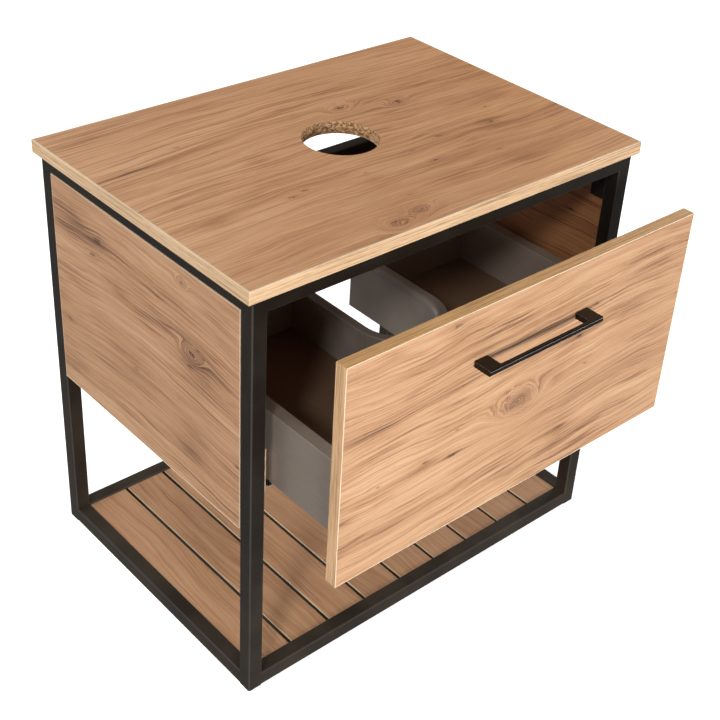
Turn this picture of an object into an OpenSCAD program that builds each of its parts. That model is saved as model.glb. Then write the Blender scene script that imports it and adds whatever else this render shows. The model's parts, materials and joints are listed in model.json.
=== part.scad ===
// Washbasin vanity base unit: a worktop with a waste cut-out on a square-tube
// steel frame, with one full-extension drawer and a slatted bottom shelf.
// Millimetres. X runs left to right, Y front to back and Z up. The origin is on
// the floor, under the middle of the back bottom rail.

/* [Worktop] */
// Width of the worktop, left to right
top_w = 600; // [560:5:680]
// Depth of the worktop, front to back
top_d = 420; // [420:5:480]
// Thickness of the worktop
top_t = 16; // [16:1:25]
// How far the worktop reaches past the frame at each side
top_over_side = 8; // [0:1:20]
// How far the worktop reaches past the frame at the front and at the back
top_over_front = 5; // [0:1:20]
// Diameter of the cut-out for the basin's waste
waste_d = 95; // [40:1:110]
// How far the cut-out's centre lies behind the middle of the worktop
waste_set_back = 8; // [0:1:15]

/* [Steel frame] */
// Height of the frame, floor to the underside of the worktop
frame_h = 553; // [540:1:620]
// Outer side of the square tube
tube = 20; // [20:1:25]
// Wall thickness of the tube
tube_wall = 1.5; // [1.2:0.1:2]
// Outer corner radius of the tube
tube_r = 2.5; // [2:0.1:3]
// Height of the back cross rail's underside above the floor
cross_rail_z = 420; // [400:1:450]

/* [Boards] */
// Thickness of the side panels and of the drawer's boards
board_t = 16; // [15:1:16]
// Thickness of the glued edge bands
band_t = 1; // [0.8:0.1:1.5]
// Height of the side panels' lower edge above the floor
panel_z = 245; // [240:1:260]
// Thickness of the battens that pack the runners out from the side panels
batten_t = 20; // [18:1:22]
// Height of the battens
batten_h = 60; // [50:1:60]

/* [Shelf] */
// Thickness of the slats
slat_t = 16; // [12:1:16]
// Gap between two slats
slat_gap = 5; // [3:0.5:8]
// Thickness of the steel ledges that carry the slats
ledge_t = 2; // [2:0.1:2.5]

/* [Drawer] */
// Gap round the drawer front when it is shut
front_gap = 3; // [2:0.5:4]
// Thickness of the drawer front
front_t = 16; // [16:1:18]
// Length of the drawer sides
side_l = 336; // [330:1:340]
// Height of the drawer sides' lower edge above the floor
side_z = 295; // [295:0.5:300]
// Height of the drawer sides
side_h = 95; // [80:1:110]
// Gap between a drawer side and its batten
runner_gap = 3; // [3:0.1:3.5]
// How far the bottom board is set up from the sides' lower edge
bottom_up = 10; // [10:0.5:12]
// Inner radius of the siphon recess
recess_r = 47; // [45:1:60]
// Thickness of the siphon recess's wall
recess_wall = 17; // [14:1:18]
// Drop of the recess's rim below the top of the drawer sides
recess_drop = 7.5; // [0:0.5:10]
// How far the drawer stands open in this position
rest_open = 118; // [0:1:300]

/* [Handle] */
// Overall length of the handle
handle_l = 180; // [150:5:220]
// Distance between the handle's two screws
handle_pitch = 160; // [128:1:200]
// How far the handle stands off the drawer front
handle_out = 25; // [22:1:35]
// Height of the handle's section
handle_h = 7.4; // [6:0.1:12]
// Depth of the grip bar
handle_bar = 5; // [4:0.1:8]
// Drop of the handle's middle below the top of the drawer front
handle_drop = 68; // [40:1:140]

/* [Runners] */
// Length of the cabinet member
runner_l = 350; // [350:1:355]
// Sheet thickness of the runners
runner_t = 1.2; // [1:0.1:1.2]

/* [Hidden] */
$fn = 48;

oak = [0.76, 0.58, 0.42];
oak_light = [0.88, 0.72, 0.54];
slat_oak = [0.66, 0.48, 0.35];
frame_black = [0.18, 0.17, 0.16];
board_grey = [0.53, 0.5, 0.46];
handle_black = [0.16, 0.13, 0.11];
zinc = [0.75, 0.76, 0.78];
nylon = [0.85, 0.85, 0.82];

over = 1;                                     // how far cutting shapes reach past a face
fit_gap = 0.1;                                // clearance round a screw in its hole

frame_w = top_w - 2 * top_over_side;
frame_d = top_d - 2 * top_over_front;
leg_x = (frame_w - tube) / 2;                 // centre of a leg
front_leg_y = tube - frame_d;                 // centre of a front leg; the back legs' is 0
front_y = front_leg_y - tube / 2;             // plane of the frame's front
inner_x = frame_w / 2 - tube;                 // inner face of a leg
inner_front_y = front_y + tube;               // back face of the front legs
inner_back_y = -tube / 2;                     // front face of the back legs
inner_d = inner_back_y - inner_front_y;       // clear depth between front and back legs
rail_z = frame_h - tube;                      // underside of the top rails
top_front_y = front_y - top_over_front;
waste_y = top_front_y + top_d / 2 + waste_set_back;

panel_x = frame_w / 2 - board_t;              // inner face of a side panel
panel_h = rail_z - panel_z;
tab_t = 3;
tab_w = 20;
tab_upper_h = 46;
tab_lower_h = 30;
tab_lower_z = panel_z + 3;

slat_count = 9;
slat_w = (2 * inner_x - (slat_count - 1) * slat_gap) / slat_count;
ledge_w = 26;

batten_x = panel_x - batten_t;                // inner face of a batten
runner_z = side_z - 8;                        // underside of the runners
batten_z = runner_z - 6;
side_x = batten_x - runner_gap;               // outer face of a drawer side
side_in_x = side_x - board_t;
bottom_z = side_z + bottom_up;                // underside of the bottom board
bottom_top_z = bottom_z + board_t;
side_top_z = side_z + side_h;

drawer_front_w = 2 * (inner_x - front_gap);
front_inset = 1;                              // extra room above and below the drawer front
drawer_front_z = panel_z + front_inset;
drawer_front_top = rail_z - front_gap - front_inset;
box_front_y = front_y + front_t;              // back face of the drawer front, shut
box_back_y = box_front_y + side_l;
handle_z = drawer_front_top - handle_drop;

member_x = side_in_x - 11;                    // middle of a runner's members
member_top_z = bottom_z;
hat_w = 10;
hat_z = runner_z + 6;                         // top of the cabinet member's guide
slide_gap = 0.4;                              // running clearance between members
middle_in_w = hat_w + 2 * slide_gap;
middle_w = middle_in_w + 2 * runner_t;
middle_z = hat_z + slide_gap + runner_t;      // top face of the middle member
drawer_in_w = middle_w + 2 * slide_gap;
drawer_member_w = drawer_in_w + 2 * runner_t;
member_foot_z = runner_z + runner_t + slide_gap + 0.5;
middle_l = runner_l - 50;
drawer_member_l = runner_l - 20;
runner_front_y = box_front_y + 2;
flange_in_x = 12;                             // inner reach of the runner's floor
flange_h = 38;
upstand_h = 9;
roller_r = (member_top_z - runner_t - middle_z) / 2 - 0.3;
roller_z = middle_z + roller_r + 0.2;
axle_r = 1.5;
roller_count = 5;

screw_r = 2;
screw_head_r = 4;
screw_head_h = 2.2;
flat_head_h = 1.2;
slat_screw_r = 1.75;
slat_screw_head_r = 3.4;
cam_r = 7.5;
cam_depth = 12;

// Places a child on the left or the right: side is -1 or 1
module on_side(side) {
  mirror([side < 0 ? 1 : 0, 0, 0]) children();
}

// Moves what belongs to the drawer out by a share of the drawer's opening
module pulled_out(share = 1) {
  translate([0, -rest_open * share, 0]) children();
}

module rounded_square(side, r) {
  union() {
    square([side, side - 2 * r], center = true);
    square([side - 2 * r, side], center = true);
    for (x = [-1, 1], y = [-1, 1]) {
      translate([x * (side / 2 - r), y * (side / 2 - r)]) circle(r);
    }
  }
}

module tube_outline() {
  difference() {
    rounded_square(tube, tube_r);
    rounded_square(tube - 2 * tube_wall, tube_r - tube_wall);
  }
}

module leg(x, y) {
  color(frame_black) translate([x, y, 0]) linear_extrude(frame_h) tube_outline();
}

// The space the four legs fill, which the rails' ends are shaped to
module leg_spaces() {
  for (x = [-leg_x, leg_x], y = [front_leg_y, 0]) {
    translate([x, y, -over]) linear_extrude(frame_h + 2 * over) rounded_square(tube, tube_r);
  }
}

// A rail along X between two legs, its ends coped round the legs' corners
module rail_x(y, z) {
  color(frame_black) difference() {
    translate([-inner_x - tube_r, y, z + tube / 2]) rotate([90, 0, 90])
      linear_extrude(2 * (inner_x + tube_r)) tube_outline();
    leg_spaces();
  }
}

// The space between the legs that the front and back rails' ends fill
module rail_x_spaces() {
  for (y = [front_leg_y, 0]) {
    translate([-inner_x - tube_r, y - tube / 2, -over])
      cube([2 * (inner_x + tube_r), tube, frame_h + 2 * over]);
  }
}

// A rail along Y between two legs, its ends coped round the legs' outer corners
module rail_y(x, z) {
  color(frame_black) difference() {
    translate([x, inner_back_y + tube_r, z + tube / 2]) rotate([90, 0, 0])
      linear_extrude(inner_d + 2 * tube_r) tube_outline();
    leg_spaces();
    rail_x_spaces();
  }
}

// A pan-head screw along +Z with its head just below z = 0
module pan_screw(l, r = screw_r, head_r = screw_head_r, head_h = screw_head_h) {
  difference() {
    union() {
      translate([0, 0, -head_h]) cylinder(r = head_r, h = head_h);
      cylinder(r = r, h = l);
    }
    translate([0, 0, -head_h - over]) linear_extrude(over + head_h * 0.6) cross_slot(head_r);
  }
}

// A countersunk screw along +Z with its flat head flush with z = 0
module flush_screw(l, r, head_r) {
  difference() {
    rotate_extrude() polygon([
      [0, 0.1], [head_r - fit_gap, 0.1], [head_r - fit_gap, 0.3],
      [r, 0.3 + head_r - r], [r, l - r], [0, l]
    ]);
    translate([0, 0, -over]) linear_extrude(over + head_r * 0.35) cross_slot(head_r);
  }
}

// The hole a countersunk screw needs
module flush_hole(l, r, head_r) {
  rotate_extrude() polygon([
    [0, -over], [head_r, -over], [head_r, 0.3],
    [r + fit_gap, 0.4 + head_r - r], [r + fit_gap, l + over], [0, l + over]
  ]);
}

module cross_slot(head_r) {
  square([head_r * 1.1, head_r * 0.26], center = true);
  square([head_r * 0.26, head_r * 1.1], center = true);
}

// Worktop and its screws ------------------------------------------------------

worktop_screw_x = [-200, 0, 200];
worktop_screw_l = tube + 10;

module at_worktop_screws() {
  for (x = worktop_screw_x, y = [front_leg_y, 0]) {
    translate([x, y, rail_z]) children();
  }
}

module worktop() {
  color(oak) difference() {
    translate([-top_w / 2 + band_t, top_front_y + band_t, frame_h])
      cube([top_w - 2 * band_t, top_d - 2 * band_t, top_t]);
    translate([0, waste_y, frame_h - over]) cylinder(d = waste_d, h = top_t + 2 * over, $fn = 96);
    at_worktop_screws() cylinder(r = screw_r + fit_gap, h = worktop_screw_l + 0.5);
  }
}

module worktop_edge_band() {
  color(oak_light) difference() {
    translate([-top_w / 2, top_front_y, frame_h]) cube([top_w, top_d, top_t]);
    translate([-top_w / 2 + band_t, top_front_y + band_t, frame_h - over])
      cube([top_w - 2 * band_t, top_d - 2 * band_t, top_t + 2 * over]);
  }
}

module worktop_screws() {
  color(zinc) at_worktop_screws() pan_screw(worktop_screw_l);
}

// Frame -----------------------------------------------------------------------

// A top rail along X, drilled for the worktop's screws
module drilled_rail_x(y) {
  color(frame_black) difference() {
    rail_x(y, rail_z);
    for (x = worktop_screw_x) {
      translate([x, y, rail_z - over]) cylinder(r = screw_r + 0.3, h = tube + 2 * over);
    }
  }
}

// Places a child at each tab: the inner face of a side panel, at the tab's corner
module at_tabs() {
  for (side = [-1, 1], y = [inner_front_y, inner_back_y - tab_w]) {
    on_side(side) translate([panel_x - tab_t, y, rail_z - tab_upper_h]) children(0);
    on_side(side) translate([panel_x - tab_t, y, tab_lower_z]) children(1);
  }
}

module tab(h) {
  difference() {
    cube([tab_t, tab_w, h]);
    translate([-over, tab_w / 2, h / 2]) rotate([0, 90, 0])
      cylinder(r = screw_r + 0.3, h = tab_t + 2 * over);
  }
}

module panel_tabs() {
  color(frame_black) at_tabs() {
    tab(tab_upper_h);
    tab(tab_lower_h);
  }
}

panel_screw_l = tab_t + 11;

module panel_screw_at(h) {
  translate([0, tab_w / 2, h / 2]) rotate([0, 90, 0]) children();
}

module panel_screws() {
  color(zinc) at_tabs() {
    panel_screw_at(tab_upper_h) pan_screw(panel_screw_l);
    panel_screw_at(tab_lower_h) pan_screw(panel_screw_l);
  }
}

module leg_plugs() {
  plug_side = tube - 2 * tube_wall;
  color(handle_black) for (x = [-leg_x, leg_x], y = [front_leg_y, 0]) {
    translate([x, y, 0.5]) difference() {
      linear_extrude(12) rounded_square(plug_side, tube_r - tube_wall);
      translate([0, 0, 3]) linear_extrude(12) square(plug_side - 5, center = true);
    }
  }
}

// Side panels and battens -----------------------------------------------------

batten_screw_y = [inner_front_y + 30, inner_front_y + inner_d / 2, inner_back_y - 30];
batten_screw_z = batten_z + batten_h - 8;
batten_screw_l = batten_t + 11;
batten_head_r = 4;

module at_batten_screws(side) {
  for (y = batten_screw_y) {
    on_side(side) translate([batten_x, y, batten_screw_z]) rotate([0, 90, 0]) children();
  }
}

module side_panel(side) {
  color(oak) difference() {
    on_side(side) translate([panel_x, inner_front_y, panel_z + band_t])
      cube([board_t, inner_d, panel_h - band_t]);
    at_tabs() {
      panel_screw_at(tab_upper_h) cylinder(r = screw_r + fit_gap, h = panel_screw_l + 0.5);
      panel_screw_at(tab_lower_h) cylinder(r = screw_r + fit_gap, h = panel_screw_l + 0.5);
    }
    at_batten_screws(side) cylinder(r = screw_r + fit_gap, h = batten_screw_l + 0.5);
  }
}

module side_panel_edge_bands() {
  color(oak_light) for (side = [-1, 1]) {
    on_side(side) translate([panel_x, inner_front_y, panel_z]) cube([board_t, inner_d, band_t]);
  }
}

runner_screw_y = [runner_front_y + 37, runner_front_y + 175, runner_front_y + 313];
runner_screw_z = runner_z + flange_h - 14;
runner_screw_l = 14;

module at_runner_screws(side) {
  for (y = runner_screw_y) {
    on_side(side) translate([batten_x - runner_t, y, runner_screw_z]) rotate([0, 90, 0]) children();
  }
}

module runner_batten(side) {
  color(oak_light) difference() {
    on_side(side) translate([batten_x, inner_front_y, batten_z]) cube([batten_t, inner_d, batten_h]);
    at_batten_screws(side) flush_hole(batten_t, screw_r, batten_head_r);
    at_runner_screws(side) cylinder(r = screw_r + fit_gap, h = runner_screw_l + 0.5);
  }
}

module batten_screws() {
  color(zinc) for (side = [-1, 1]) {
    at_batten_screws(side) flush_screw(batten_screw_l, screw_r, batten_head_r);
  }
}

module runner_screws() {
  color(zinc) for (side = [-1, 1]) {
    at_runner_screws(side) pan_screw(runner_screw_l, screw_r, 3.6, flat_head_h);
  }
}

// Slatted shelf ---------------------------------------------------------------

slat_screw_in = 12;
slat_screw_l = ledge_t + 11;

module at_slat_screws(i) {
  for (y = [inner_front_y + slat_screw_in, inner_back_y - slat_screw_in]) {
    translate([slat_x(i) + slat_w / 2, y, 0]) children();
  }
}

function slat_x(i) = -inner_x + (i - 1) * (slat_w + slat_gap);

module slat(i) {
  color(slat_oak) difference() {
    translate([slat_x(i), inner_front_y, ledge_t]) cube([slat_w, inner_d, slat_t]);
    at_slat_screws(i) cylinder(r = slat_screw_r + fit_gap, h = slat_screw_l + 0.5);
  }
}

module slat_ledge(y) {
  color(frame_black) difference() {
    translate([-inner_x, y, 0]) cube([2 * inner_x, ledge_w, ledge_t]);
    for (i = [1 : slat_count]) {
      at_slat_screws(i) flush_hole(ledge_t, slat_screw_r, slat_screw_head_r);
    }
  }
}

module slat_screws() {
  color(zinc) for (i = [1 : slat_count]) {
    at_slat_screws(i) flush_screw(slat_screw_l, slat_screw_r, slat_screw_head_r);
  }
}

// Runners ---------------------------------------------------------------------
// Each section is drawn across X and Z and then run back along Y.

module along_y(y, l) {
  translate([0, y + l, 0]) rotate([90, 0, 0]) linear_extrude(l) children();
}

// An upside-down channel w wide over its outside, from z up to z_top
module channel(w, z, z_top) {
  difference() {
    translate([member_x - w / 2, z]) square([w, z_top - z]);
    translate([member_x - w / 2 + runner_t, z - over])
      square([w - 2 * runner_t, z_top - z - runner_t + over]);
  }
}

module runner_cabinet(side) {
  floor_in_x = member_x - flange_in_x;
  flange_cut = [2 * runner_t, 26, flange_h];
  color(zinc) difference() {
    on_side(side) along_y(runner_front_y, runner_l) union() {
      translate([batten_x - runner_t, runner_z]) square([runner_t, flange_h]);
      translate([floor_in_x, runner_z]) square([batten_x - floor_in_x, runner_t]);
      translate([floor_in_x, runner_z]) square([runner_t, upstand_h]);
      channel(hat_w, runner_z + runner_t / 2, hat_z);
    }
    on_side(side) translate([batten_x - flange_cut.x, runner_front_y - over, runner_z + 3]) cube(flange_cut);
    at_runner_screws(side) translate([0, 0, -over])
      cylinder(r = screw_r + 0.3, h = runner_t + 2 * over);
  }
}

module runner_middle(side) {
  color(zinc) pulled_out(0.5) on_side(side) along_y(runner_front_y + 10, middle_l)
    channel(middle_w, member_foot_z, middle_z);
}

roller_pitch = (middle_l - 40) / (roller_count - 1);
function roller_y(i) = runner_front_y + 30 + i * roller_pitch;

// Two cheeks on the middle member, notched for the rollers' axles
module runner_carriages() {
  cheek_h = roller_z - middle_z + 1.5;
  cheek_t = 1.6;
  color(handle_black) pulled_out(0.5) for (side = [-1, 1], cheek = [-1, 1]) {
    on_side(side) difference() {
      translate([member_x + cheek * (middle_w - cheek_t) / 2 - cheek_t / 2, runner_front_y + 16, middle_z])
        cube([cheek_t, middle_l - 12, cheek_h]);
      for (i = [0 : roller_count - 1]) {
        translate([member_x - middle_w / 2 - over, roller_y(i) - axle_r - fit_gap, roller_z - axle_r])
          cube([middle_w + 2 * over, 2 * (axle_r + fit_gap), cheek_h]);
      }
    }
  }
}

module runner_rollers() {
  roller_w = middle_w - 4;
  color(nylon) pulled_out(0.5) for (side = [-1, 1], i = [0 : roller_count - 1]) {
    on_side(side) translate([member_x, roller_y(i), roller_z]) rotate([0, 90, 0]) union() {
      cylinder(r = roller_r, h = roller_w, center = true);
      cylinder(r = axle_r, h = middle_w, center = true);
    }
  }
}

module runner_drawer(side) {
  color(zinc) pulled_out() on_side(side) along_y(runner_front_y, drawer_member_l)
    channel(drawer_member_w, member_foot_z, member_top_z);
}

// Clips under the bottom board's front corners that lock it to the runners
module drawer_clips() {
  clip_l = 60;
  clip_w = 22;
  clip_x = member_x - flange_in_x - 0.5 - clip_w;
  tongue_z = runner_z + upstand_h + 1;
  color([0.45, 0.45, 0.45]) pulled_out() for (side = [-1, 1]) on_side(side) {
    difference() {
      translate([clip_x, runner_front_y, runner_z + 5]) cube([clip_w, clip_l, bottom_z - runner_z - 5]);
      translate([clip_x + 4, runner_front_y - over, runner_z + 9]) cube([clip_w - 8, 22, 5]);
    }
    translate([clip_x + clip_w, runner_front_y + 8, tongue_z])
      cube([member_x - drawer_member_w / 2 - clip_x - clip_w, clip_l - 16, bottom_z - tongue_z - 2]);
  }
}

// Drawer ----------------------------------------------------------------------

module drawer_front_space(inset) {
  translate([-drawer_front_w / 2 + inset, front_y, drawer_front_z + inset])
    cube([drawer_front_w - 2 * inset, front_t, drawer_front_top - drawer_front_z - 2 * inset]);
}

module at_handle_screws() {
  for (x = [-1, 1] * handle_pitch / 2) {
    translate([x, box_front_y, handle_z]) rotate([90, 0, 0]) children();
  }
}

module drawer_front() {
  color(oak_light) pulled_out() difference() {
    drawer_front_space(band_t);
    at_handle_screws() translate([0, 0, -over]) cylinder(r = screw_r + 0.3, h = front_t + 2 * over);
  }
}

module drawer_front_edge_band() {
  color([0.95, 0.85, 0.7]) pulled_out() difference() {
    drawer_front_space(0);
    translate([-drawer_front_w / 2 + band_t, front_y - over, drawer_front_z + band_t])
      cube([drawer_front_w - 2 * band_t, front_t + 2 * over,
            drawer_front_top - drawer_front_z - 2 * band_t]);
  }
}

cam_y = box_front_y + 24;
cam_z = [side_z + 30, side_top_z - 20];

module at_cams(side) {
  for (z = cam_z) {
    on_side(side) translate([side_in_x, cam_y, z]) rotate([0, 90, 0]) children();
  }
}

module drawer_side(side) {
  color(board_grey) pulled_out() difference() {
    on_side(side) translate([side_in_x, box_front_y, side_z]) cube([board_t, side_l, side_h]);
    at_cams(side) translate([0, 0, -over]) cylinder(r = cam_r + fit_gap, h = cam_depth + over + 0.5);
  }
}

module drawer_cams() {
  color(zinc) pulled_out() for (side = [-1, 1]) at_cams(side) difference() {
    cylinder(r = cam_r, h = cam_depth);
    translate([0, 0, -over]) linear_extrude(over + 2) cross_slot(cam_r);
  }
}

// Outline of the siphon recess at radius r, reaching back to y_end
module recess_outline(r, y_end) {
  union() {
    translate([0, waste_y]) circle(r, $fn = 96);
    translate([-r, waste_y]) square([2 * r, y_end - waste_y]);
  }
}

recess_rim_in_r = 8;
recess_rim_out_r = 2;

// What a rounding of radius r takes off a square corner at the origin
module corner_off(r) {
  difference() {
    translate([-over, -r]) square([r + over, r + over]);
    translate([r, -r]) circle(r);
  }
}

// The recess wall's section: x is the distance from the recess's middle
module recess_section() {
  h = side_top_z - recess_drop - bottom_z;
  difference() {
    translate([recess_r, 0]) square([recess_wall, h]);
    translate([recess_r, h]) corner_off(recess_rim_in_r);
    translate([recess_r + recess_wall, h]) mirror([1, 0]) corner_off(recess_rim_out_r);
  }
}

module siphon_recess_wall() {
  color([0.5, 0.48, 0.45]) pulled_out() translate([0, waste_y, bottom_z]) union() {
    rotate([0, 0, 180]) rotate_extrude(angle = 180, $fn = 96) recess_section();
    for (side = [-1, 1]) {
      on_side(side) translate([0, box_back_y - waste_y, 0]) rotate([90, 0, 0])
        linear_extrude(box_back_y - waste_y) recess_section();
    }
  }
}

module drawer_bottom() {
  color(board_grey) pulled_out() difference() {
    translate([-side_in_x, box_front_y, bottom_z]) cube([2 * side_in_x, side_l, board_t]);
    translate([0, 0, bottom_z - over]) linear_extrude(board_t + 2 * over)
      recess_outline(recess_r + recess_wall, box_back_y + over);
  }
}

module drawer_back(side) {
  recess_x = recess_r + recess_wall;
  color(board_grey) pulled_out() on_side(side) translate([recess_x, box_back_y - board_t, bottom_top_z])
    cube([side_in_x - recess_x, board_t, side_top_z - bottom_top_z]);
}

// Handle ----------------------------------------------------------------------

foot_w = 20;
foot_r = 2.5;
foot_fillet = 2;
handle_chamfer = 1.3;
handle_screw_depth = 8;

// One half of the handle seen from above: a foot and half of the bar
module handle_plan_half() {
  foot_x = handle_l / 2 - foot_w;
  union() {
    translate([0, -handle_out]) square([handle_l / 2, handle_bar]);
    translate([foot_x, -handle_out]) square([foot_w, handle_out - foot_r]);
    translate([foot_x + foot_r, -handle_out]) square([foot_w - 2 * foot_r, handle_out]);
    for (x = [foot_x + foot_r, handle_l / 2 - foot_r]) {
      translate([x, -foot_r]) circle(foot_r);
    }
    difference() {
      translate([foot_x - foot_fillet, handle_bar - handle_out]) square(foot_fillet);
      translate([foot_x - foot_fillet, handle_bar - handle_out + foot_fillet]) circle(foot_fillet);
    }
  }
}

// The handle's section from the side, with its two front edges chamfered
module handle_section() {
  half = handle_h / 2;
  polygon([
    [0, -half], [0, half], [-handle_out + handle_chamfer, half],
    [-handle_out, half - handle_chamfer], [-handle_out, -half + handle_chamfer],
    [-handle_out + handle_chamfer, -half]
  ]);
}

module handle() {
  color(handle_black) pulled_out() difference() {
    translate([0, front_y, handle_z]) intersection() {
      translate([0, 0, -handle_h / 2]) linear_extrude(handle_h) union() {
        handle_plan_half();
        mirror([1, 0, 0]) handle_plan_half();
      }
      translate([-handle_l / 2, 0, 0]) rotate([90, 0, 90]) linear_extrude(handle_l) handle_section();
    }
    at_handle_screws() cylinder(r = screw_r + fit_gap, h = front_t + handle_screw_depth + 1);
  }
}

module handle_screws() {
  color(zinc) pulled_out() at_handle_screws() pan_screw(front_t + handle_screw_depth);
}

worktop();
worktop_edge_band();
leg(-leg_x, front_leg_y);  // leg_front_left
leg(leg_x, front_leg_y);  // leg_front_right
leg(-leg_x, 0);  // leg_back_left
leg(leg_x, 0);  // leg_back_right
drilled_rail_x(front_leg_y);  // top_rail_front
drilled_rail_x(0);  // top_rail_back
rail_y(-leg_x, rail_z);  // top_rail_left
rail_y(leg_x, rail_z);  // top_rail_right
rail_x(front_leg_y, 0);  // bottom_rail_front
rail_x(0, 0);  // bottom_rail_back
rail_y(-leg_x, 0);  // bottom_rail_left
rail_y(leg_x, 0);  // bottom_rail_right
rail_x(0, cross_rail_z);  // back_cross_rail
panel_tabs();
slat_ledge(inner_front_y);  // slat_ledge_front
slat_ledge(inner_back_y - ledge_w);  // slat_ledge_back
leg_plugs();
side_panel(-1);  // side_panel_left
side_panel(1);  // side_panel_right
side_panel_edge_bands();
runner_batten(-1);  // runner_batten_left
runner_batten(1);  // runner_batten_right
slat(1);  // slat_1
slat(2);  // slat_2
slat(3);  // slat_3
slat(4);  // slat_4
slat(5);  // slat_5
slat(6);  // slat_6
slat(7);  // slat_7
slat(8);  // slat_8
slat(9);  // slat_9
worktop_screws();
panel_screws();
batten_screws();
runner_screws();
slat_screws();
runner_cabinet(-1);  // runner_cabinet_left
runner_cabinet(1);  // runner_cabinet_right
runner_middle(-1);  // runner_middle_left
runner_middle(1);  // runner_middle_right
runner_carriages();
runner_rollers();
runner_drawer(-1);  // runner_drawer_left
runner_drawer(1);  // runner_drawer_right
drawer_clips();
drawer_front();
drawer_front_edge_band();
drawer_side(-1);  // drawer_side_left
drawer_side(1);  // drawer_side_right
drawer_back(-1);  // drawer_back_left
drawer_back(1);  // drawer_back_right
drawer_bottom();
siphon_recess_wall();
drawer_cams();
handle();
handle_screws();
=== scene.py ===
import json
import math

import bpy
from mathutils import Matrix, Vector


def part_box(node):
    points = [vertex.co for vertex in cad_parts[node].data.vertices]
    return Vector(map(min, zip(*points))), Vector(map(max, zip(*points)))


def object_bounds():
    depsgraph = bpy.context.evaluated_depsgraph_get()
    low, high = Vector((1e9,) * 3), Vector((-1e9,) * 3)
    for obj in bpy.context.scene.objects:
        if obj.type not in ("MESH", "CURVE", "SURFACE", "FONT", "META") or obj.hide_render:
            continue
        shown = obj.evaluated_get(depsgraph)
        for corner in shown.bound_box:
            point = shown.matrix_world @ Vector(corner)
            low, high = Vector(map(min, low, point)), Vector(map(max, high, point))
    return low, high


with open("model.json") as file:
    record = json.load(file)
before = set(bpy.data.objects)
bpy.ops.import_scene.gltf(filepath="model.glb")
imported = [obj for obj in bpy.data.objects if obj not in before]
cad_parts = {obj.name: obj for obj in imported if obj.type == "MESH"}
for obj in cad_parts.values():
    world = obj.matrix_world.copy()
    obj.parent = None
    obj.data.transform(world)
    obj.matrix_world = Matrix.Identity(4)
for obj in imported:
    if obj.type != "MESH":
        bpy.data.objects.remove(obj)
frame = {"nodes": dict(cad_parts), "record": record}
cad_low, cad_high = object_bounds()
nodes = frame["nodes"]
MM = 0.001

# Camera and studio --------------------------------------------------------------------

CAMERA_PLACE = (-0.9752, -1.2991, 1.2598)
CAMERA_TURN = (57.510, -3.241, -41.365)      # degrees; the middle value is a slight roll
CAMERA_LENS = 67.566
CAMERA_SHIFT = (-0.0220, -0.0614)

FLOOR_SIZE = 30.0
FLOOR_WHITE = (0.94, 0.94, 0.94, 1)
FLOOR_GLOW = 0.62

# Brightness of the surroundings from straight down (0) over the horizon (0.5) to straight up (1)
SURROUNDINGS = ((0.0, 0.34), (0.44, 0.36), (0.50, 0.27), (0.58, 0.18), (0.68, 0.08), (1.0, 0.06))

# The key light is far away: the direction to it, its strength and its width in degrees
KEY_DIRECTION = (-0.674, -0.446, 0.585)
KEY_STRENGTH = 1.15
KEY_WIDTH = 9

# Each softbox: where it hangs, what it points at, width and height in metres, power in watts
SOFTBOXES = {
    "softbox_front": ((-0.9, -3.4, 0.60), (0, -0.5, 0.40), (1.8, 0.9), 108),
    "softbox_left": ((-3.0, 0.5, 1.7), (-0.29, -0.2, 0.35), (1.6, 1.2), 21),
    "softbox_right": ((2.9, -0.1, 1.7), (0, -0.2, 0.10), (1.6, 1.2), 44),
    "softbox_above": ((-1.2, 0.3, 2.8), (0, -0.2, 0.57), (2.0, 2.0), 25),
    "softbox_back": ((-0.6, 3.2, 1.0), (0, 0, 0.40), (3.2, 1.6), 40),
}


def link(obj):
    bpy.context.scene.collection.objects.link(obj)
    return obj


def add_camera():
    data = bpy.data.cameras.new("camera")
    data.lens = CAMERA_LENS
    data.sensor_width = 36
    data.shift_x, data.shift_y = CAMERA_SHIFT
    data.clip_end = 50
    camera = link(bpy.data.objects.new("camera", data))
    camera.location = CAMERA_PLACE
    camera.rotation_euler = [math.radians(angle) for angle in CAMERA_TURN]
    bpy.context.scene.camera = camera


def add_floor():
    """A white floor that only the camera sees, so that it takes the shadows
    while the surroundings, and not the floor, light the object from below."""
    bpy.ops.mesh.primitive_plane_add(size=FLOOR_SIZE, location=(0, 0, cad_low.z))
    floor = bpy.context.object
    floor.name = "floor"
    material = bpy.data.materials.new("floor")
    material.use_nodes = True
    shader = material.node_tree.nodes["Principled BSDF"]
    shader.inputs["Base Color"].default_value = FLOOR_WHITE
    shader.inputs["Roughness"].default_value = 0.9
    shader.inputs["Specular IOR Level"].default_value = 0.0
    shader.inputs["Emission Color"].default_value = FLOOR_WHITE
    shader.inputs["Emission Strength"].default_value = FLOOR_GLOW
    floor.data.materials.append(material)
    floor.visible_diffuse = False
    floor.visible_glossy = False
    floor.visible_shadow = False


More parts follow.
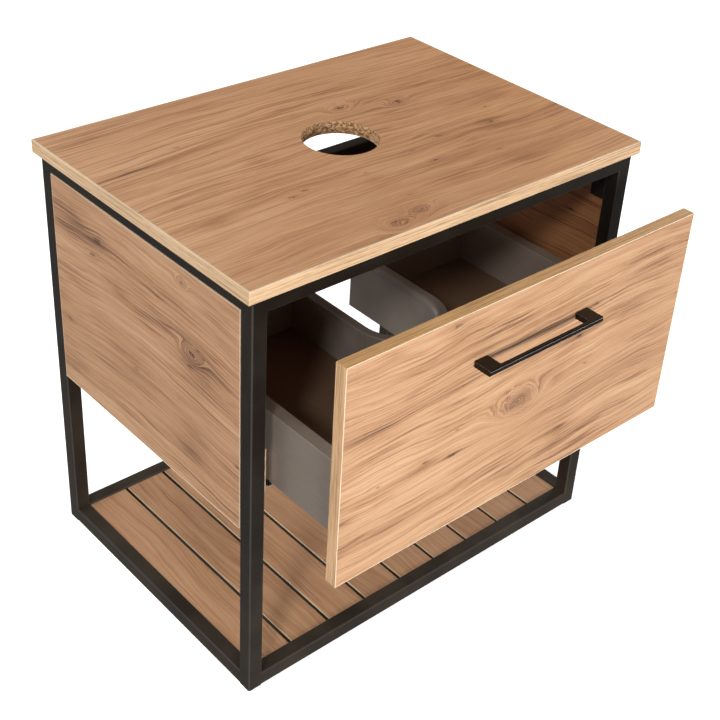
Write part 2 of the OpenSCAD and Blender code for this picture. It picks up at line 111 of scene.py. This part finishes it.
def add_surroundings():
    world = bpy.data.worlds.new("studio")
    world.use_nodes = True
    tree = world.node_tree
    direction = tree.nodes.new("ShaderNodeTexCoord").outputs["Generated"]
    split = tree.nodes.new("ShaderNodeSeparateXYZ")
    height = tree.nodes.new("ShaderNodeMapRange")
    height.inputs["From Min"].default_value = -1
    ramp = tree.nodes.new("ShaderNodeValToRGB")
    while len(ramp.color_ramp.elements) < len(SURROUNDINGS):
        ramp.color_ramp.elements.new(0.5)
    for element, (place, grey) in zip(ramp.color_ramp.elements, SURROUNDINGS):
        element.position = place
        element.color = (grey, grey, grey, 1)
    tree.links.new(direction, split.inputs[0])
    tree.links.new(split.outputs["Z"], height.inputs["Value"])
    tree.links.new(height.outputs["Result"], ramp.inputs[0])
    tree.links.new(ramp.outputs[0], tree.nodes["Background"].inputs["Color"])
    bpy.context.scene.world = world
    bpy.context.scene.view_settings.view_transform = "Standard"


def add_key_light():
    data = bpy.data.lights.new("key", "SUN")
    data.energy = KEY_STRENGTH
    data.angle = math.radians(KEY_WIDTH)
    key = link(bpy.data.objects.new("key", data))
    key.rotation_euler = Vector(KEY_DIRECTION).to_track_quat("Z", "Y").to_euler()


def add_softbox(name, place, aim, size, power):
    data = bpy.data.lights.new(name, "AREA")
    data.shape = "RECTANGLE"
    data.size, data.size_y = size
    data.energy = power
    softbox = link(bpy.data.objects.new(name, data))
    softbox.location = place
    direction = Vector(aim) - Vector(place)
    softbox.rotation_euler = direction.to_track_quat("-Z", "Y").to_euler()


# A short way to write a material's nodes ------------------------------------------------


class Value:
    """A number that varies over a surface. Arithmetic on it adds Math nodes."""

    def __init__(self, graph, socket):
        self.graph = graph
        self.socket = socket

    def __add__(self, other):
        return self.graph.math("ADD", self, other)

    def __radd__(self, other):
        return self.graph.math("ADD", other, self)

    def __sub__(self, other):
        return self.graph.math("SUBTRACT", self, other)

    def __rsub__(self, other):
        return self.graph.math("SUBTRACT", other, self)

    def __mul__(self, other):
        return self.graph.math("MULTIPLY", self, other)

    def __rmul__(self, other):
        return self.graph.math("MULTIPLY", other, self)

    def __truediv__(self, other):
        return self.graph.math("DIVIDE", self, other)

    def __abs__(self):
        return self.graph.math("ABSOLUTE", self)


class Graph:
    """A new material, with x, y, z in metres in the part's own frame, and its normal."""

    def __init__(self, name):
        self.material = bpy.data.materials.new(name)
        self.material.use_nodes = True
        self.tree = self.material.node_tree
        self.shader = self.tree.nodes["Principled BSDF"]
        places = self.add("TexCoord")
        self.x, self.y, self.z = self.split(places.outputs["Object"])
        self.normal_x, self.normal_y, self.normal_z = self.split(places.outputs["Normal"])

    def add(self, kind, **settings):
        node = self.tree.nodes.new("ShaderNode" + kind)
        for name, setting in settings.items():
            setattr(node, name, setting)
        return node

    def feed(self, socket, value):
        if isinstance(value, Value):
            self.tree.links.new(value.socket, socket)
        else:
            socket.default_value = value

    def split(self, vector):
        node = self.add("SeparateXYZ")
        self.tree.links.new(vector, node.inputs[0])
        return [Value(self, output) for output in node.outputs]

    def join(self, *coordinates):
        node = self.add("CombineXYZ")
        for socket, value in zip(node.inputs, coordinates):
            self.feed(socket, value)
        return Value(self, node.outputs[0])

    def math(self, operation, *values):
        node = self.add("Math", operation=operation)
        for socket, value in zip(node.inputs, values):
            self.feed(socket, value)
        return Value(self, node.outputs[0])

    def noise(self, *place, detail=2.0, roughness=0.5):
        """Fractal noise from 0 to 1. place is in units of the size of its largest spots."""
        node = self.add("TexNoise")
        node.inputs["Scale"].default_value = 1.0
        node.inputs["Detail"].default_value = detail
        node.inputs["Roughness"].default_value = roughness
        self.feed(node.inputs["Vector"], self.join(*place))
        return Value(self, node.outputs["Fac"])

    def chips(self, *place):
        """A different number from 0 to 1 in each of many irregular cells."""
        node = self.add("TexVoronoi")
        node.inputs["Scale"].default_value = 1.0
        self.feed(node.inputs["Vector"], self.join(*place))
        separate = self.add("SeparateColor")
        self.tree.links.new(node.outputs["Color"], separate.inputs[0])
        return Value(self, separate.outputs[0])

    def step(self, value, low, high):
        """0 where value is below low, 1 above high, and smooth between them."""
        node = self.add("MapRange", interpolation_type="SMOOTHSTEP")
        for name, number in (("Value", value), ("From Min", low), ("From Max", high)):
            self.feed(node.inputs[name], number)
        return Value(self, node.outputs["Result"])

    def ramp(self, value, stops):
        """A colour that follows value through the stops, each (place, (r, g, b))."""
        node = self.add("ValToRGB")
        points = node.color_ramp.elements
        while len(points) < len(stops):
            points.new(0.5)
        for point, (place, colour) in zip(points, stops):
            point.position = place
            point.color = (*colour, 1)
        self.feed(node.inputs[0], value)
        return Value(self, node.outputs[0])

    def mix(self, share, first, second, blend="MIX"):
        """Colour first where share is 0, and where it is 1 second, or their blend."""
        node = self.add("Mix", data_type="RGBA", blend_type=blend)
        self.feed(node.inputs[0], share)
        for socket, colour in ((node.inputs[6], first), (node.inputs[7], second)):
            self.feed(socket, colour if isinstance(colour, Value) else (*colour, 1))
        return Value(self, node.outputs[2])

    def tint(self, colour, tint, share=1.0):
        """colour multiplied by tint as far as share says."""
        return self.mix(share, colour, tint, blend="MULTIPLY")

    def shade(self, colour, light):
        """colour made brighter or darker by the number light."""
        node = self.add("VectorMath", operation="SCALE")
        self.feed(node.inputs[0], colour)
        self.feed(node.inputs["Scale"], light)
        return Value(self, node.outputs[0])

    def finish(self, colour, roughness, height, depth, specular=0.5, metallic=0.0):
        """Sets the shader: depth is how far in metres the bump of height stands out."""
        bump = self.add("Bump")
        bump.inputs["Strength"].default_value = 1.0
        bump.inputs["Distance"].default_value = depth
        self.feed(bump.inputs["Height"], height)
        self.feed(self.shader.inputs["Normal"], Value(self, bump.outputs[0]))
        self.feed(self.shader.inputs["Base Color"], colour)
        self.feed(self.shader.inputs["Roughness"], roughness)
        self.shader.inputs["Specular IOR Level"].default_value = specular
        self.shader.inputs["Metallic"].default_value = metallic
        return self.material


# Oak decor ------------------------------------------------------------------------------

OAK_TONES = (
    (0.16, (0.66, 0.415, 0.240)),
    (0.36, (0.565, 0.325, 0.178)),
    (0.54, (0.445, 0.235, 0.120)),
    (0.72, (0.270, 0.134, 0.068)),
    (0.92, (0.085, 0.046, 0.029)),
)
BAND_TONES = ((0.25, (0.74, 0.52, 0.320)), (0.50, (0.63, 0.415, 0.238)), (0.80, (0.38, 0.228, 0.122)))
WARM_OAK = (0.46, 0.245, 0.130)
# Painted shade for the slats' sides, seen deep in the gaps.
SLAT_SIDE_PAINTED_SHADE = (0.10, 0.065, 0.030)
CREAM = (0.86, 0.71, 0.52)
WORKTOP_TINT = (1.09, 1.00, 0.92)
# Painted light on the worktop: a sheen towards the back left, shade towards the front right.
WORKTOP_LEFT_PAINTED_SHEEN = (1.10, 1.17, 1.26)
WORKTOP_RIGHT_PAINTED_SHADE = (0.99, 0.94, 0.85)
# Painted shade: the left side panel is darkened a little.
LEFT_PANEL_PAINTED_SHADE = (0.93, 0.91, 0.90)
SLAT_TINT = (0.95, 0.91, 0.89)
# The drawer front band's side and top tints; the top's darker, browner tint is painted shade.
DRAWER_BAND_TINTS_WITH_PAINTED_TOP_SHADE = ((0.94, 0.85, 0.76), (0.92, 0.77, 0.54))
# Painted shade for the side panels' inner faces.
INNER_PAINTED_SHADE = (0.58, 0.44, 0.33)
RIM_WIDTH = 1.2 * MM


def oak_figure(g, along, across, seed, eyes=(), flecks=(), smoke=(), waviness=0.05, contrast=1.0):
    """How dark an oak decor is, from 0 to 1, and how high its surface stands.
    along and across are in metres. Each eye, fleck and smoke patch is
    (along, across, half its height): the growth rings close round an eye,
    a fleck is a short dark mark, and smoke is a soft grey-brown stain."""
    flow = across + waviness * (g.noise(along * 1.7, across * 3.0, seed, detail=1) - 0.5)
    flow = flow + 0.018 * (g.noise(along * 8, across * 15, seed + 4, detail=2) - 0.5)
    ragged = g.noise(along * 120, across * 170, seed + 8, detail=2) - 0.5
    bent = g.noise(along * 34, across * 52, seed + 13, detail=2) - 0.5
    specks = g.step(g.noise(along * 330, across * 480, seed + 10, detail=1), 0.48, 0.60)
    cloud = g.noise(along * 4.5, across * 12, seed + 6, detail=4)
    rings = 0.0
    marks = 0.0
    for middle, level, size in eyes:
        beside = (along - middle) / (1.8 * size) + 1.0 * bent
        above = (across - level) / size + 0.12 * ragged - 1.0 * bent
        reach = beside * beside + above * above
        near = g.math("EXPONENT", reach * -0.6)
        flow = flow - (across - level) * 0.85 * near + 5.0 * size * near * near
        rings = rings + near * near
        marks = marks + (0.08 + 0.42 * specks) * g.math("EXPONENT", (reach + ragged) * -8.0)
    for middle, level, size in flecks:
        slope = (along - middle) + 0.5 * (across - level)
        beside = slope / (2.4 * size) + 1.1 * ragged
        above = (across - level) / size - 1.1 * ragged
        reach = beside * beside + above * above
        near = g.math("EXPONENT", reach * -0.2)
        flow = flow - (across - level) * 0.6 * near
        marks = marks + 0.07 * near + (0.22 + 0.40 * specks) * g.math("EXPONENT", reach * -3.0)
    for middle, level, size in smoke:
        beside = (along - middle) / (2.0 * size) + 0.6 * ragged
        above = (across - level) / size + 2.0 * (cloud - 0.5)
        marks = marks + 0.20 * g.math("EXPONENT", (beside * beside + above * above) * -1.0)
    bands = g.noise(flow * 70, along * 1.8, seed + 1, detail=4, roughness=0.64)
    lines = g.noise(flow * 330, along * 3.5, seed + 2, detail=2, roughness=0.75)
    fibres = g.noise(flow * 760, along * 16, seed + 3, detail=2, roughness=0.6)
    pores = g.step(g.noise(across * 1300, along * 85, seed + 5, detail=1), 0.60, 0.78)
    crossing = abs(g.noise(flow * 150, along * 2.6, seed + 11, detail=1) - 0.5)
    fading = g.step(g.noise(along * 11, across * 55, seed + 12, detail=1), 0.38, 0.62)
    strokes = (1 - g.step(crossing, 0.01, 0.085)) * fading
    vein = abs(g.noise(flow * 24, along * 1.1, seed + 9, detail=2) - 0.5)
    veins = (1 - g.step(vein, 0.002, 0.013)) * g.step(cloud, 0.46, 0.60)
    grain = 0.60 * (bands - 0.5) + 0.95 * (lines - 0.5) + 0.65 * (fibres - 0.5)
    grain = grain + 0.16 * pores + 0.42 * (cloud - 0.5) + 0.19 * strokes + 0.15 * veins
    dark = 0.38 + contrast * grain + rings * (0.13 + 1.7 * (lines - 0.5)) + marks
    height = 0.5 - 0.5 * (fibres - 0.5) - 0.6 * pores - 0.4 * strokes - 0.5 * veins
    return dark, height


def oak_face(g, along, across, seed, tint=(1, 1, 1), **options):
    """The decor's colour, roughness and height."""
    dark, height = oak_figure(g, along, across, seed, **options)
    warm = g.noise(along * 3.5, across * 10, seed + 7, detail=2)
    colour = g.mix(g.step(warm, 0.40, 0.70) * 0.30, g.ramp(dark, OAK_TONES), WARM_OAK)
    colour = g.tint(colour, tint)
    roughness = 0.42 + 0.18 * (dark - 0.3)
    return colour, roughness, height


def band_face(g, along, across, seed):
    """The paler, straight-grained print of an edge band."""
    lines = g.noise(across * 620, along * 9, seed, detail=3, roughness=0.65)
    fibres = g.noise(across * 1500, along * 60, seed + 1, detail=1)
    return g.ramp(0.48 + 2.0 * (lines - 0.5) + 0.6 * (fibres - 0.5), BAND_TONES), lines


def near_rim(g, place, low, high, width):
    """1 within width of either end of a board that runs from low to high, else 0."""
    middle = (low + high) / 2
    half = (high - low) / 2
    return g.step(abs(place - middle), half - width, half - 0.7 * width)


WORKTOP_MARKS = {
    "eyes": ((0.057, -0.120, 0.011), (0.130, -0.146, 0.009), (-0.083, -0.386, 0.012),
             (-0.045, -0.376, 0.010)),
    "flecks": ((-0.142, -0.273, 0.0040), (-0.120, -0.268, 0.0030), (0.103, -0.250, 0.0035),
               (0.186, -0.256, 0.0025), (0.138, -0.318, 0.0030), (0.047, -0.262, 0.0025),
               (-0.030, -0.343, 0.0025), (0.212, -0.219, 0.0020), (-0.036, -0.275, 0.0035),
               (-0.176, -0.099, 0.0020), (0.054, -0.296, 0.0020)),
    "smoke": ((-0.245, -0.275, 0.014), (-0.050, -0.372, 0.022), (0.180, -0.255, 0.012),
              (0.040, -0.345, 0.016), (0.150, -0.360, 0.018), (0.245, -0.200, 0.014),
              (-0.120, -0.180, 0.010)),
}
FRONT_MARKS = {
    "eyes": ((-0.009, 0.376, 0.017),),
    "flecks": ((0.107, 0.463, 0.003), (0.103, 0.383, 0.0025), (-0.120, 0.520, 0.0035),
               (-0.104, 0.381, 0.002), (-0.149, 0.358, 0.0025), (-0.108, 0.348, 0.0025),
               (-0.216, 0.357, 0.0025), (0.085, 0.428, 0.0025)),
    "smoke": ((-0.009, 0.376, 0.014), (0.055, 0.384, 0.007), (-0.150, 0.352, 0.012),
              (0.075, 0.300, 0.014)),
}
LEFT_MARKS = {
    "eyes": ((-0.290, 0.431, 0.010), (-0.276, 0.514, 0.006)),
    "flecks": ((-0.107, 0.487, 0.005), (-0.096, 0.464, 0.0035), (-0.032, 0.344, 0.0035),
               (-0.377, 0.329, 0.0035), (-0.290, 0.414, 0.0025), (-0.180, 0.350, 0.0035)),
    "smoke": ((-0.060, 0.492, 0.026), (-0.170, 0.355, 0.022), (-0.305, 0.418, 0.022),
              (-0.285, 0.300, 0.016), (-0.150, 0.440, 0.012)),
}
RIGHT_MARKS = {
    "eyes": ((-0.100, 0.440, 0.012), (-0.300, 0.330, 0.009)),
    "flecks": ((-0.220, 0.500, 0.0035), (-0.180, 0.300, 0.003), (-0.330, 0.450, 0.003)),
    "smoke": ((-0.250, 0.460, 0.020),),
}


def worktop_material():
    g = Graph("oak_worktop")
    hole = next(m for m in frame["record"]["mounts"] if m["name"] == "waste_cutout")
    hole_radius = hole["dims"]["r_mm"] * MM
    from_axis_x = g.x - hole["pos_m"][0]
    from_axis_y = g.y - hole["pos_m"][1]
    distance = g.math("SQRT", from_axis_x * from_axis_x + from_axis_y * from_axis_y)
    wall = 1 - g.step(distance, hole_radius, hole_radius + 0.35 * MM)
    colour, roughness, height = oak_face(
        g, g.x, g.y, 1.3, tint=WORKTOP_TINT, contrast=0.84, **WORKTOP_MARKS)
    # Painted light: the decor is made paler and greyer towards the back left, a painted sheen, and
    # browner towards the front right, a painted shade.
    rightward = g.x - 0.6 * g.y + 0.08 * (g.noise(g.x * 9, g.y * 14, 2.0, detail=2) - 0.5)
    colour = g.tint(colour, WORKTOP_LEFT_PAINTED_SHEEN, 1 - g.step(rightward, -0.22, 0.06))
    colour = g.tint(colour, WORKTOP_RIGHT_PAINTED_SHADE, g.step(rightward, 0.15, 0.42))
    turn = g.math("ARCTAN2", from_axis_y, from_axis_x) * 20
    chip = g.chips(turn, g.z * 520, 3.0)
    speck = g.noise(turn * 2, g.z * 1100, 5.0, detail=2)
    board = g.ramp(chip * 0.7 + speck * 0.4, (
        (0.15, (0.11, 0.052, 0.020)), (0.35, (0.29, 0.150, 0.064)),
        (0.60, (0.50, 0.285, 0.134)), (0.85, (0.72, 0.450, 0.240)),
    ))
    ends_x, ends_y = ends("worktop", "x", "y")
    rim_width = 1.4 * MM
    rim = g.math("MAXIMUM", near_rim(g, g.x, *ends_x, rim_width), near_rim(g, g.y, *ends_y, rim_width))
    colour = g.mix(rim * 0.45, colour, CREAM)
    colour = g.mix(wall, colour, board)
    return g.finish(colour, roughness + wall * 0.4, height + wall * (chip * 3), 0.12 * MM)


def board_material(name, along, across, seed, box_ends, rim=0.85, inside=0, **options):
    """An oak board in a vertical plane with a pale line round its rim.
    along and across name the graph's axes; box_ends gives the board's ends on each.
    inside is the way along X, -1 or 1, that a side panel's inner face looks; painted shade darkens and
    browns that face."""
    g = Graph(name)
    axes = {"x": g.x, "y": g.y, "z": g.z}
    u, v = axes[along], axes[across]
    colour, roughness, height = oak_face(g, u, v, seed, **options)
    edge = g.math("MAXIMUM",
                  near_rim(g, u, *box_ends[0], RIM_WIDTH), near_rim(g, v, *box_ends[1], RIM_WIDTH))
    colour = g.mix(edge * rim, colour, CREAM)
    if inside:
        # Painted shade on the side panel's inner face.
        colour = g.tint(colour, INNER_PAINTED_SHADE, g.step(g.normal_x * inside, 0.4, 0.7))
    return g.finish(colour, roughness, height, 0.10 * MM)


def slat_material():
    """Every slat is cut from another stretch of the decor. Its top arrises are pale, the banded edge with
    a painted highlight, and its sides are dark, painted shade in the gaps between slats.
    """
    g = Graph("oak_slats")
    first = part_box("slat_1")[0].x
    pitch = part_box("slat_2")[0].x - first
    into_gap = 2.0 * MM
    count = g.math("FLOOR", (g.x - first + into_gap) / pitch)
    colour, roughness, height = oak_face(
        g, g.y + count * 1.37, g.x + count * 0.43, 7.7, tint=SLAT_TINT, contrast=0.68, waviness=0.10)
    light = 0.86 + 0.28 * g.noise(count * 1.7, 0.3, 9.0, detail=0)
    slat_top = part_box("slat_1")[1].z
    arris = g.step(g.z, slat_top - 1.6 * MM, slat_top - 1.0 * MM) * (1 - g.step(g.normal_z, 0.80, 0.97))
    side = 1 - g.step(g.normal_z, 0.2, 0.4)
    # Painted shade: the sides are made dark; the top arrises, a painted highlight with the band, are made
    # pale.
    colour = g.mix(side * (1 - arris), g.shade(colour, light), SLAT_SIDE_PAINTED_SHADE)
    colour = g.mix(arris * 0.9, colour, CREAM)
    return g.finish(colour, roughness, height, 0.10 * MM)


def edge_band_material(name, level_axis, side_tint=(1, 1, 1), top_shade_tint=(1, 1, 1)):
    """A band round a board whose face looks along level_axis. The band's thin faces,
    which look the same way, show its cream-coloured core. Its other faces take
    top_shade_tint where they look up, a painted shade, and side_tint elsewhere."""
    g = Graph(name)
    normals = {"x": abs(g.normal_x), "y": abs(g.normal_y), "z": abs(g.normal_z)}
    places = {"x": g.x, "y": g.y, "z": g.z}
    first, second = [axis for axis in "xyz" if axis != level_axis]
    turned = g.step(normals[first], 0.6, 0.8)
    along = places[first] + turned * (places[second] - places[first])
    colour, lines = band_face(g, along, places[level_axis], 11.0)
    core = g.step(normals[level_axis], 0.25, 0.55)
    # Painted shade: the faces that look up take the darker top tint.
    tint = g.mix(g.step(g.normal_z, 0.5, 0.9), side_tint, top_shade_tint)
    colour = g.mix(core, g.tint(colour, tint), CREAM)
    return g.finish(colour, 0.42 + 0.1 * lines, lines, 0.06 * MM)


# Painted, moulded and metal finishes --------------------------------------------------------


def between_axes(g):
    """1 on a rounded arris, where the surface faces no axis squarely, else 0."""
    flat = g.math("MAXIMUM", abs(g.normal_x), g.math("MAXIMUM", abs(g.normal_y), abs(g.normal_z)))
    return 1 - g.step(flat, 0.90, 0.985)


def powder_coat_material():
    """Fine-textured satin black, worn smoother at the arrises and lighter there, a painted highlight.
    The faces that look up are lighter, a dusty film and a painted sheen, and lower parts towards the
    floor take a thinner dusty film."""
    g = Graph("powder_coat")
    peel = g.noise(g.x * 700, g.y * 700, g.z * 700, detail=3, roughness=0.6)
    patch = g.noise(g.x * 14, g.y * 14, g.z * 14, detail=3)
    arris = between_axes(g)
    colour = g.ramp(0.6 * peel + 0.4 * patch, (
        (0.32, (0.004, 0.0030, 0.0020)), (0.50, (0.011, 0.0080, 0.0054)), (0.68, (0.023, 0.0170, 0.0118)),
    ))
    # Faces that look up are made lighter, a dusty film and a painted sheen; lower parts towards the floor
    # get a thinner dusty film.
    dust_and_sheen_place = g.math("MAXIMUM", g.step(g.normal_z, 0.6, 0.9), 0.5 - 0.5 * g.step(g.z, 0.02, 0.35))
    dust_and_sheen = dust_and_sheen_place * (0.5 + 0.5 * g.step(patch, 0.35, 0.65))
    colour = g.mix(dust_and_sheen * 0.75, colour, (0.060, 0.045, 0.032))
    # Painted highlight: the arrises are made lighter.
    colour = g.mix(arris * 0.6, colour, (0.060, 0.052, 0.044))
    return g.finish(colour, 0.40 + 0.18 * (patch - 0.3) - arris * 0.08, peel, 0.05 * MM, specular=0.19)


def melamine_material(name, tint):
    """Melamine with a faint woven print, browner where it faces up, and pale at the
    arrises, a painted highlight. tint colours the warm grey."""
    g = Graph(name)
    thread = g.noise(g.x * 260, g.y * 42, g.z * 700, detail=3, roughness=0.6)
    fine = g.noise(g.x * 1400, g.y * 1400, g.z * 1400, detail=2)
    patch = g.noise(g.x * 9, g.y * 9, g.z * 9, detail=2)
    faces_up = g.step(g.normal_z, 0.75, 0.95)
    lines = g.noise(g.x * 1300, g.y * 16, g.z * 40, detail=2)
    colour = g.ramp(0.4 * thread + 0.25 * fine + 0.35 * patch, (
        (0.30, (0.205, 0.166, 0.136)), (0.50, (0.250, 0.206, 0.170)), (0.72, (0.300, 0.252, 0.212)),
    ))
    browned = faces_up * (0.35 + 0.3 * g.step(lines, 0.35, 0.65))
    colour = g.mix(browned, colour, (0.235, 0.178, 0.132))
    colour = g.tint(colour, tint)
    # Painted highlight: the arrises are made pale.
    colour = g.mix(between_axes(g) * 0.7, colour, (0.46, 0.40, 0.34))
    return g.finish(colour, 0.42 + 0.16 * (patch - 0.3), 0.5 * thread + 0.5 * fine, 0.05 * MM)


def moulded_material(name, light, dark):
    """Moulded plastic: a fine spark-eroded texture, slow variation in tone and in gloss."""
    g = Graph(name)
    fine = g.noise(g.x * 1500, g.y * 1500, g.z * 1500, detail=2)
    patch = g.noise(g.x * 18, g.y * 18, g.z * 18, detail=2)
    rubbed = g.step(Value(g, g.add("NewGeometry").outputs["Pointiness"]), 0.52, 0.60)
    colour = g.mix(g.step(0.35 * fine + 0.65 * patch, 0.35, 0.68), dark, light)
    colour = g.shade(colour, 1 + 0.25 * rubbed)
    return g.finish(colour, 0.42 + 0.2 * (patch - 0.4), fine, 0.04 * MM)


def zinc_material():
    """Rolled zinc-plated sheet: streaks along the travel and small spangles."""
    g = Graph("zinc_plate")
    streak = g.noise(g.x * 900, g.y * 14, g.z * 900, detail=3)
    spangle = g.chips(g.x * 180, g.y * 180, g.z * 180)
    colour = g.ramp(0.6 * streak + 0.4 * spangle, (
        (0.25, (0.42, 0.43, 0.45)), (0.55, (0.60, 0.61, 0.63)), (0.80, (0.74, 0.75, 0.76)),
    ))
    return g.finish(colour, 0.26 + 0.22 * streak, streak, 0.03 * MM, metallic=1.0)


def screw_material(name, light):
    """Plated screws with turning marks; light scales the plating's brightness."""
    g = Graph(name)
    turned = g.noise(g.x * 2400, g.y * 2400, g.z * 2400, detail=3)
    patch = g.noise(g.x * 160, g.y * 160, g.z * 160, detail=2)
    colour = g.ramp(0.5 * turned + 0.5 * patch, (
        (0.30, (0.34, 0.34, 0.35)), (0.55, (0.55, 0.55, 0.56)), (0.75, (0.70, 0.70, 0.69)),
    ))
    return g.finish(g.shade(colour, light), 0.24 + 0.25 * patch, turned, 0.02 * MM, metallic=1.0)


def handle_material():
    """Near-black lacquered metal; the front arrises carry a pale line, a painted highlight, and are a
    little smoother.
    """
    g = Graph("handle_lacquer")
    brush = g.noise(g.x * 30, g.y * 1600, g.z * 1600, detail=2)
    patch = g.noise(g.x * 40, g.y * 40, g.z * 40, detail=2)
    tilt = abs(g.normal_z)
    arris = g.step(tilt, 0.20, 0.32) * (1 - g.step(tilt, 0.45, 0.58))
    colour = g.mix(g.step(patch, 0.3, 0.7), (0.0040, 0.0022, 0.0014), (0.0090, 0.0052, 0.0034))
    # Painted highlight: a pale line along the front arrises.
    colour = g.mix(arris * (0.55 + 0.4 * brush), colour, (0.52, 0.48, 0.44))
    return g.finish(colour, 0.36 + 0.15 * (brush - 0.5) - 0.06 * arris, brush, 0.03 * MM, specular=0.22)


# Dressing the CAD nodes --------------------------------------------------------------------


def dress(material, *names):
    for name in names:
        slots = nodes[name].data.materials
        slots.clear()
        slots.append(material)


def soften(name, width):
    """Rounds a node's sharp edges by width and keeps its broad faces flat."""
    node = nodes[name]
    weld = node.modifiers.new("weld", "WELD")
    weld.merge_threshold = 1e-6
    flat = node.modifiers.new("flat_faces", "DECIMATE")
    flat.decimate_type = "DISSOLVE"
    flat.angle_limit = math.radians(0.5)
    bevel = node.modifiers.new("soft_edges", "BEVEL")
    bevel.width = width
    bevel.segments = 2
    bevel.limit_method = "ANGLE"
    bevel.angle_limit = math.radians(40)
    bevel.use_clamp_overlap = True
    normals = node.modifiers.new("flat_shading", "WEIGHTED_NORMAL")
    normals.keep_sharp = False
    normals.weight = 100


def named(*starts):
    """The nodes whose names begin with one of starts, in order."""
    return sorted(name for name in nodes if name.startswith(starts))


def ends(name, *axes):
    """A node's lowest and highest place on each of the axes."""
    low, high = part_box(name)
    return [(getattr(low, axis), getattr(high, axis)) for axis in axes]


SLATS = [f"slat_{number}" for number in range(1, 10)]
TUBES = ("leg_back", "leg_front", "top_rail", "bottom_rail", "back_cross_rail")


def dress_oak():
    dress(worktop_material(), "worktop")
    panel_depth, (panel_low, panel_top) = ends("side_panel_left", "y", "z")
    # The panels' lower edge is banded instead, so their rim starts far below it.
    panel_rim = (panel_depth, (2 * panel_low - panel_top, panel_top))
    dress(board_material("oak_left", "y", "z", 21.0, panel_rim, rim=0.45, inside=1,
                         tint=LEFT_PANEL_PAINTED_SHADE, waviness=0.11, **LEFT_MARKS), "side_panel_left")
    dress(board_material("oak_right", "y", "z", 31.0, panel_rim, rim=0.45, inside=-1,
                         waviness=0.07, **RIGHT_MARKS), "side_panel_right")
    front_ends = ends("drawer_front_edge_band", "x", "z")
    dress(board_material("oak_front", "x", "z", 41.0, front_ends, **FRONT_MARKS), "drawer_front")
    dress(slat_material(), *SLATS)
    dress(edge_band_material("oak_band_worktop", "z"), "worktop_edge_band")
    dress(edge_band_material("oak_band_front", "y", *DRAWER_BAND_TINTS_WITH_PAINTED_TOP_SHADE), "drawer_front_edge_band")
    dress(edge_band_material("oak_band_side", "x"), "side_panel_edge_bands")
    battens = named("runner_batten")
    dress(board_material("oak_battens", "y", "z", 51.0, ends(battens[0], "y", "z"), rim=0.3), *battens)


def dress_frame():
    dress(powder_coat_material(), *named(*TUBES, "panel_tabs", "slat_ledge"))
    dress(moulded_material("black_plug", (0.030, 0.028, 0.026), (0.018, 0.017, 0.016)), "leg_plugs")


def dress_drawer():
    dress(melamine_material("grey_melamine", (0.90, 0.89, 0.89)), *named("drawer_side", "drawer_back"))
    dress(melamine_material("brown_melamine", (0.62, 0.48, 0.37)), "drawer_bottom")
    dress(moulded_material("grey_recess", (0.22, 0.188, 0.158), (0.17, 0.142, 0.117)),
          "siphon_recess_wall")
    dress(handle_material(), "handle")
    dress(moulded_material("grey_clip", (0.30, 0.29, 0.28), (0.22, 0.21, 0.20)), "drawer_clips")


def dress_runners():
    dress(zinc_material(), *named("runner_cabinet", "runner_middle", "runner_drawer"))
    dress(moulded_material("black_carriage", (0.035, 0.035, 0.036), (0.022, 0.022, 0.022)),
          "runner_carriages")
    dress(moulded_material("white_nylon", (0.78, 0.77, 0.73), (0.68, 0.67, 0.63)), "runner_rollers")
    dress(screw_material("zinc_screw", 1.0), *named("worktop_screws", "batten_screws", "runner_screws",
                                                    "slat_screws", "handle_screws", "drawer_cams"))
    dress(screw_material("black_screw", 0.08), "panel_screws")


def soften_edges():
    for name in named("side_panel_left", "side_panel_right", "runner_batten"):
        soften(name, 0.4 * MM)
    for name in named("drawer_side", "drawer_back"):
        soften(name, 0.6 * MM)
    for name in SLATS:
        soften(name, 0.8 * MM)
    for name in named(*TUBES):
        soften(name, 0.5 * MM)
    soften("handle", 0.35 * MM)
    soften("worktop_edge_band", 0.4 * MM)
    soften("drawer_front_edge_band", 0.4 * MM)


add_camera()
add_floor()
add_surroundings()
add_key_light()
for softbox_name, softbox_setup in SOFTBOXES.items():
    add_softbox(softbox_name, *softbox_setup)

dress_oak()
dress_frame()
dress_drawer()
dress_runners()
soften_edges()
